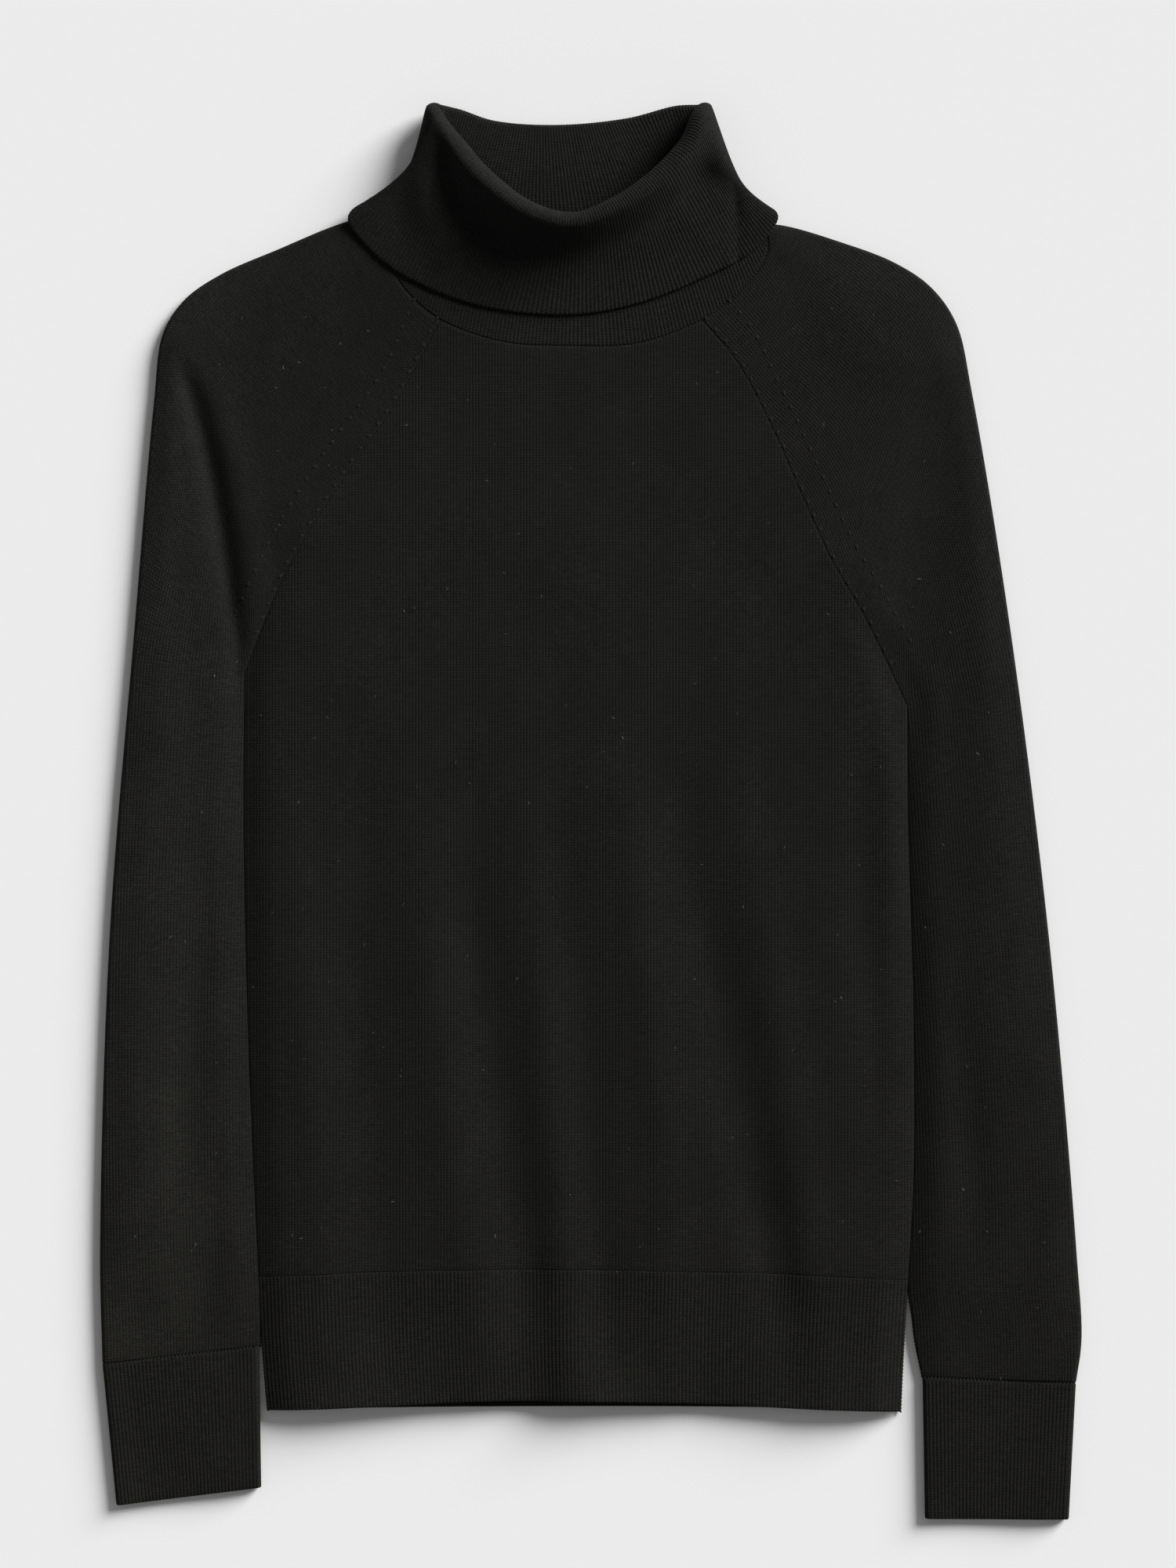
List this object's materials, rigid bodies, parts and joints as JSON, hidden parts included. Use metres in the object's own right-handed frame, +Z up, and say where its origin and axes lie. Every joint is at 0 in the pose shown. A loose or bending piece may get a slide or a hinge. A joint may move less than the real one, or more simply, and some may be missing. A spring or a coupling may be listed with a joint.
{
  "type": "turtleneck sweater",
  "caption": "Fine-gauge raglan turtleneck sweater laid flat, with a folded ribbed collar, ribbed cuffs and a ribbed hem.",
  "frame": {"origin": "middle of the laid-out sweater's bounding box, on the surface that it lies on", "axes": "+Z up out of the front, +Y from the hem to the collar, +X to the viewer's right"},
  "size_m": [0.5253, 0.7584, 0.0317],
  "materials": {
    "knit": "matte fine jersey knit, black",
    "rib": "matte fine rib knit, black"
  },
  "bodies": {
    "root": {"front_panel": "knit", "back_panel": "knit", "sleeve_left": "knit", "sleeve_right": "knit", "cuff_left": "rib", "cuff_right": "rib", "hem_front": "rib", "hem_back": "rib", "collar": "rib"}
  },
  "joints": []
}
